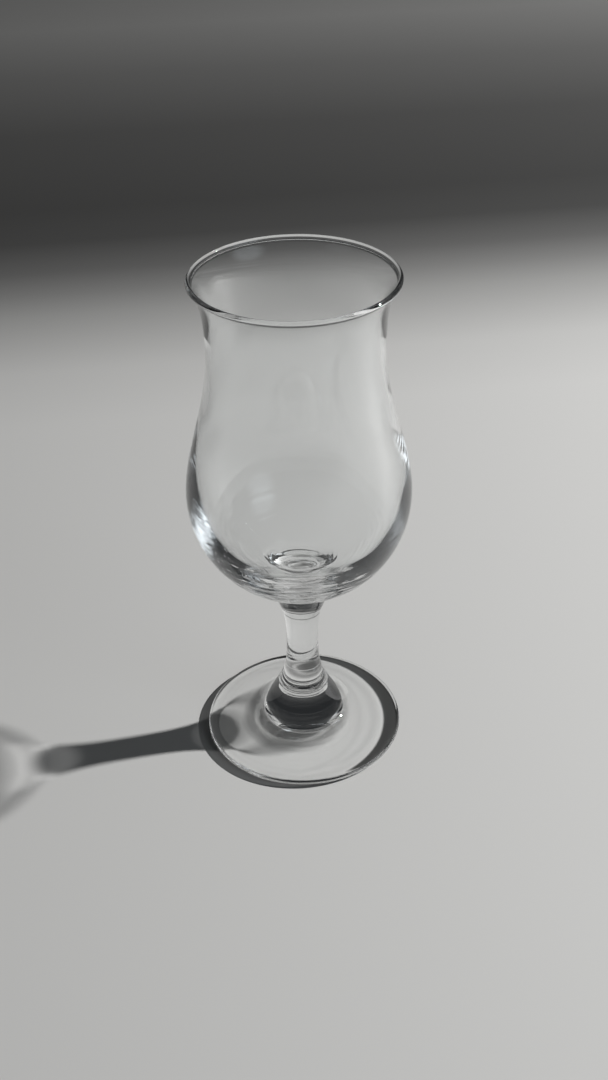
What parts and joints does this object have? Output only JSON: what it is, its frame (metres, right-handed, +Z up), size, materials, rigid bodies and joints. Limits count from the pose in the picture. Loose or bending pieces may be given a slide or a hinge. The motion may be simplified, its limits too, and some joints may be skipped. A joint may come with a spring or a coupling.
{
  "type": "hurricane glass",
  "caption": "Clear short-stemmed hurricane glass with a beaded, flared lip, a drawn-in waist, a round belly, a solid stem and a round foot.",
  "frame": {"origin": "centre of the circle on which the foot rests, on the table", "axes": "+Z up along the stem, the axis about which the whole glass is round"},
  "size_m": [0.075, 0.075, 0.1781],
  "materials": {
    "foot_glass": "clear, pressed, fire-polished edge",
    "stem_glass": "clear, drawn, smooth",
    "bowl_glass": "clear, blown, fire-polished lip"
  },
  "bodies": {
    "root": {"foot": "foot_glass", "stem": "stem_glass", "bowl": "bowl_glass"}
  },
  "joints": []
}
